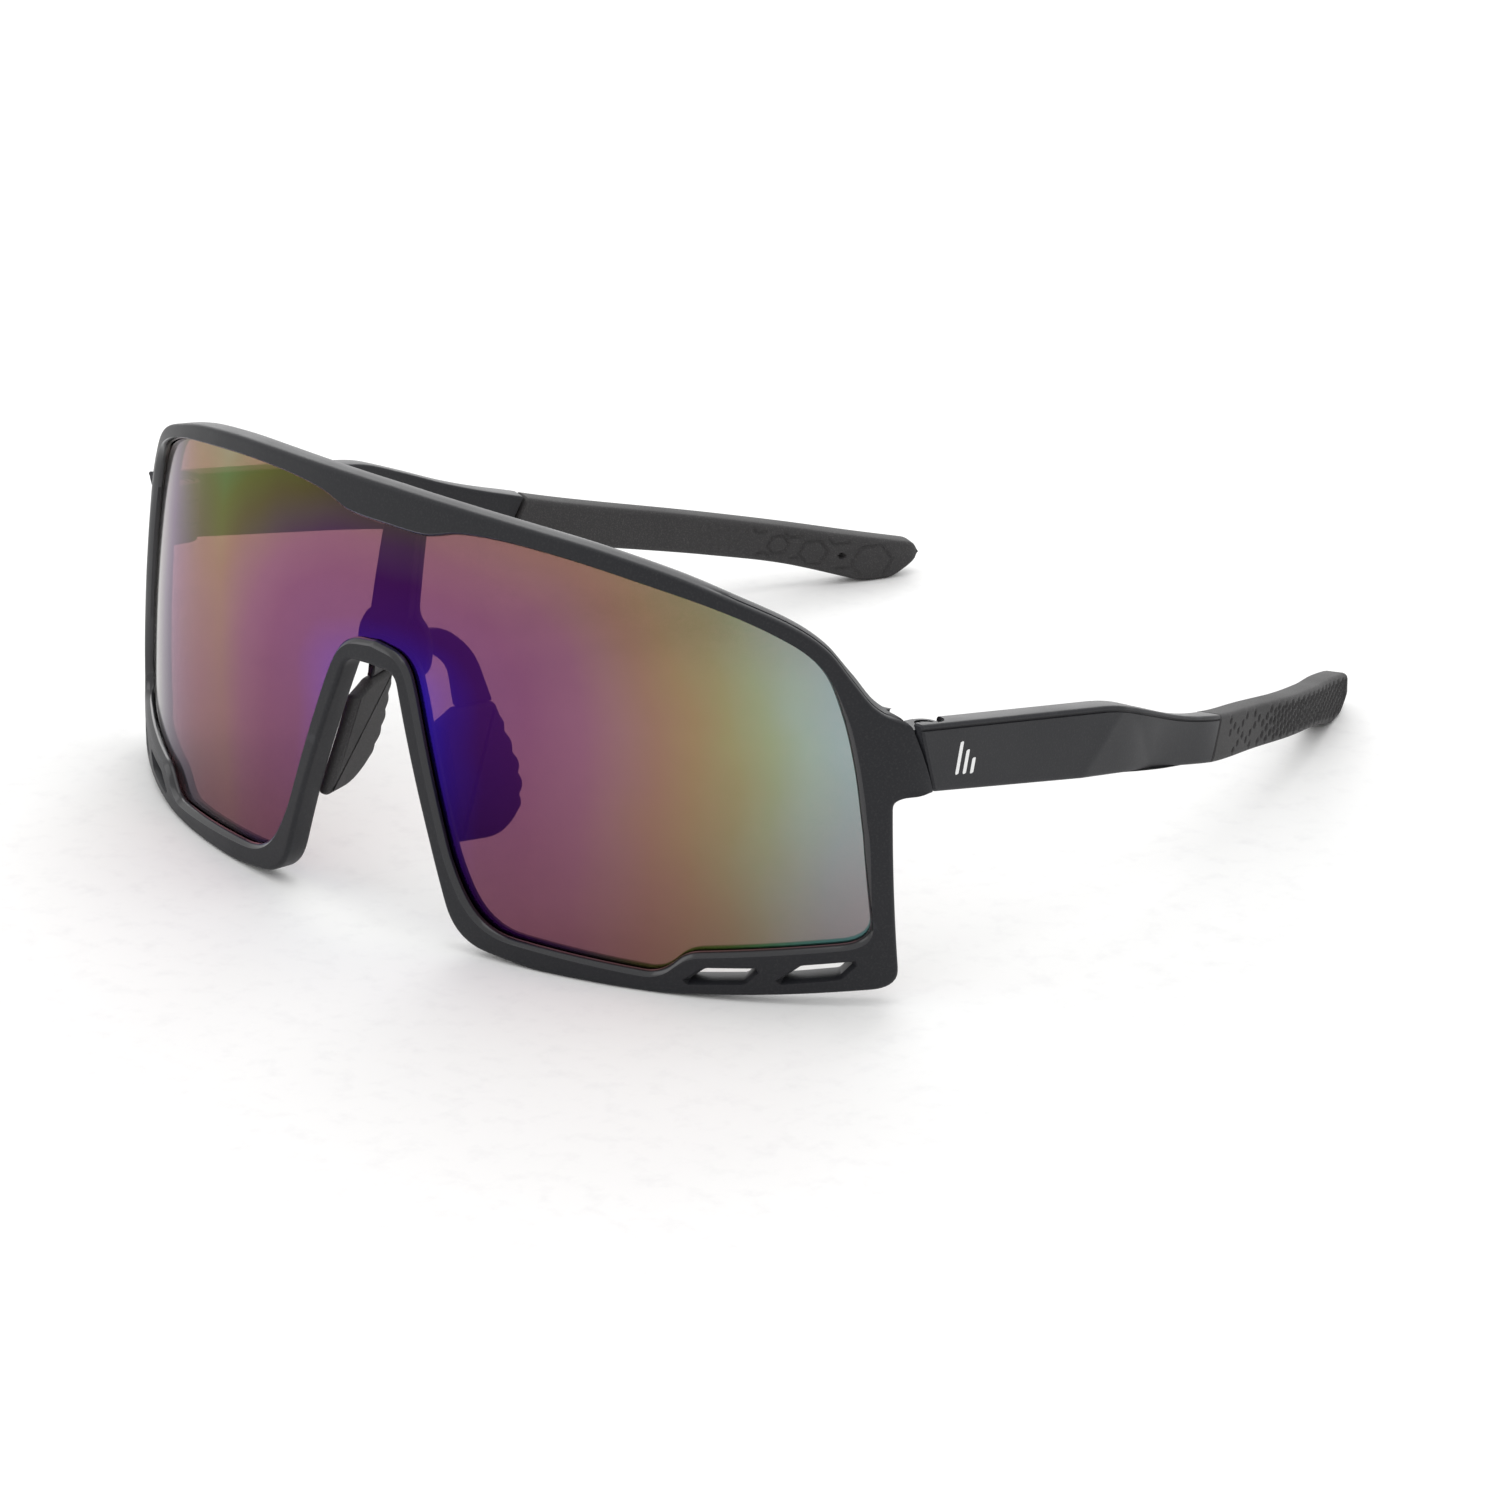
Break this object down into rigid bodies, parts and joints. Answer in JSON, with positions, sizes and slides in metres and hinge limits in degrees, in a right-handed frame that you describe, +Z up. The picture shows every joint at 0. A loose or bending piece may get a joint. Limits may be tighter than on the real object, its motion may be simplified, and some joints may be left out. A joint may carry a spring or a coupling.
{
  "type": "shield sports glasses",
  "caption": "Wraparound shield glasses with a mirrored one-piece lens, nose pads and folding arms with rubber tips.",
  "frame": {"origin": "on the table, under the middle of the bounding box of the open glasses", "axes": "+Z up, -Y the way the wearer looks, +X to the wearer's left; the arms run back along +Y"},
  "size_m": [0.1444, 0.151, 0.0583],
  "materials": {
    "frame_nylon": "matte black moulded nylon with a fine grain",
    "mirror_lens": "polycarbonate lens with a violet to olive mirror coating",
    "rubber": "matte black soft rubber",
    "screw_steel": "small blackened steel screw",
    "insert_brass": "plain brass"
  },
  "bodies": {
    "front": {"front_frame": "frame_nylon", "shield_lens": "mirror_lens", "bridge_bar": "frame_nylon", "nose_pad_left": "rubber", "nose_pad_right": "rubber", "hinge_screw_left": "screw_steel", "hinge_screw_right": "screw_steel", "hinge_insert_left": "insert_brass", "hinge_insert_right": "insert_brass"},
    "left_temple": {"temple_arm_left": "frame_nylon", "temple_tip_left": "rubber"},
    "right_temple": {"temple_arm_right": "frame_nylon", "temple_tip_right": "rubber"}
  },
  "joints": [
    {"name": "left_temple_fold", "type": "hinge", "parent": "front", "child": "left_temple", "pos_m": [0.069, -0.04334, 0.0322], "axis": [0, 0.1115, 0.9938], "range_deg": [0, 80]},
    {"name": "right_temple_fold", "type": "hinge", "parent": "front", "child": "right_temple", "pos_m": [-0.069, -0.04334, 0.0322], "axis": [0, -0.1115, -0.9938], "range_deg": [0, 72]}
  ]
}
